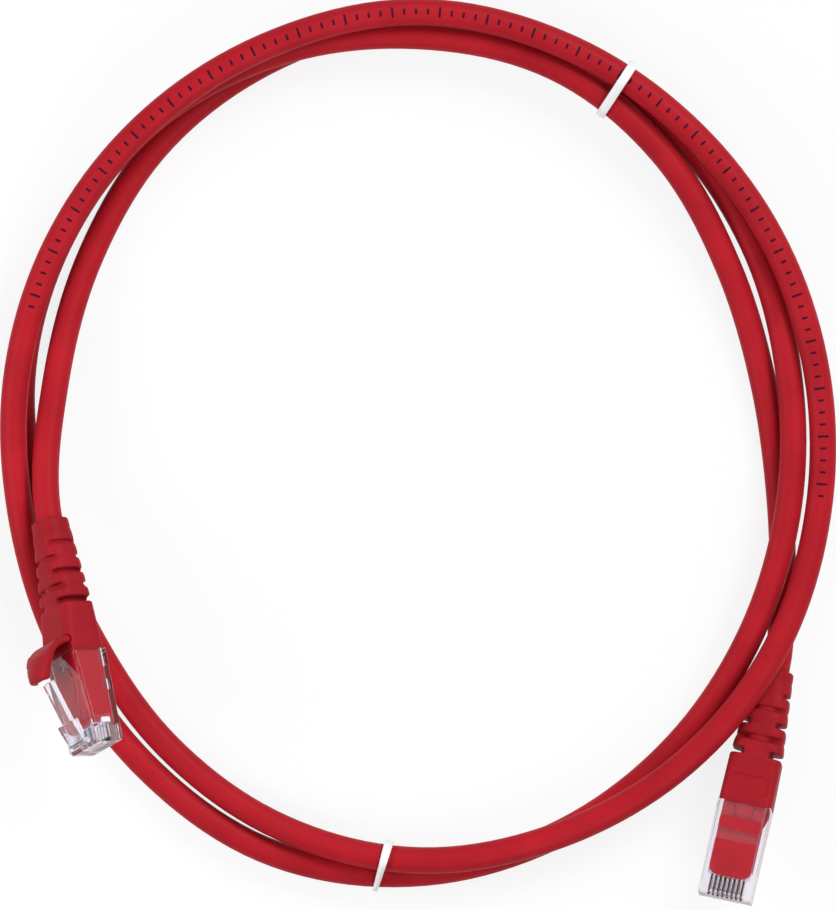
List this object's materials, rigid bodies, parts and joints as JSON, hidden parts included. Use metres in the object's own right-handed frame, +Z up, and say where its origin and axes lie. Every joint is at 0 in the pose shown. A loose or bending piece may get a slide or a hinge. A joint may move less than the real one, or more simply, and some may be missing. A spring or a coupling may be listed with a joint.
{
  "type": "ethernet patch cable",
  "caption": "Round red network patch cable lying in a loose tied ring, with a clear modular plug in a ribbed snagless boot at each end.",
  "frame": {"origin": "on the floor, at the middle of the box round the two plugs and the two ties, with the cable left out", "axes": "+Z up from the floor the ring lies on; +Y up the ring, from the plugs towards the upper tie; +X to the right, from plug A to plug B"},
  "size_m": [0.1804, 0.1955, 0.0332],
  "materials": {
    "jacket": "smooth satin PVC, red",
    "separator": "natural polyethylene",
    "wire_blue": "blue insulation",
    "wire_orange": "orange insulation",
    "wire_green": "green insulation",
    "wire_brown": "brown insulation",
    "clear_housing": "clear moulded polycarbonate",
    "contact_metal": "gold-plated phosphor bronze",
    "guide_plastic": "white moulded plastic",
    "conductor_insulation": "coloured insulation, four plain and four striped",
    "boot_plastic": "satin moulded flexible PVC, darker red",
    "tie_coat": "white plastic coating",
    "tie_wire": "soft iron wire"
  },
  "bodies": {
    "cable": {"cable_jacket": "jacket", "pair_separator": "separator", "pair_blue": "wire_blue", "pair_orange": "wire_orange", "pair_green": "wire_green", "pair_brown": "wire_brown", "plug_a_housing": "clear_housing", "plug_a_contacts": "contact_metal", "plug_a_wire_guide": "guide_plastic", "plug_a_conductors": "conductor_insulation", "plug_a_inner_mould": "boot_plastic", "plug_a_boot": "boot_plastic", "plug_b_housing": "clear_housing", "plug_b_contacts": "contact_metal", "plug_b_wire_guide": "guide_plastic", "plug_b_conductors": "conductor_insulation", "plug_b_inner_mould": "boot_plastic", "plug_b_boot": "boot_plastic", "tie_upper": "tie_coat", "tie_upper_core": "tie_wire", "tie_lower": "tie_coat", "tie_lower_core": "tie_wire"},
    "latch_a": {"plug_a_latch": "clear_housing"},
    "hood_a": {"plug_a_hood": "boot_plastic"},
    "latch_b": {"plug_b_latch": "clear_housing"},
    "hood_b": {"plug_b_hood": "boot_plastic"}
  },
  "joints": [
    {"name": "hood_a_bend", "type": "hinge", "parent": "cable", "child": "hood_a", "pos_m": [-0.07659, -0.03481, 0.02423], "axis": [0.5226, 0.3085, 0.7948], "range_deg": [0, 22], "stiffness_Nm_per_rad": 0.05},
    {"name": "latch_a_press", "type": "hinge", "parent": "cable", "child": "latch_a", "pos_m": [-0.07093, -0.05587, 0.02869], "axis": [-0.5226, -0.3085, -0.7948], "range_deg": [0, 13.4], "stiffness_Nm_per_rad": 0.05},
    {"name": "hood_b_bend", "type": "hinge", "parent": "cable", "child": "hood_b", "pos_m": [0.07328, -0.06831, 0.00621], "axis": [-0.9721, 0.2016, -0.1198], "range_deg": [0, 22], "stiffness_Nm_per_rad": 0.05},
    {"name": "latch_b_press", "type": "hinge", "parent": "cable", "child": "latch_b", "pos_m": [0.06824, -0.08924, 0.01186], "axis": [0.9721, -0.2016, 0.1198], "range_deg": [0, 13.4], "stiffness_Nm_per_rad": 0.05}
  ],
  "couplings": [
    {"joint": "latch_a_press", "follows": "hood_a_bend", "ratio": 0.6},
    {"joint": "latch_b_press", "follows": "hood_b_bend", "ratio": 0.6}
  ]
}
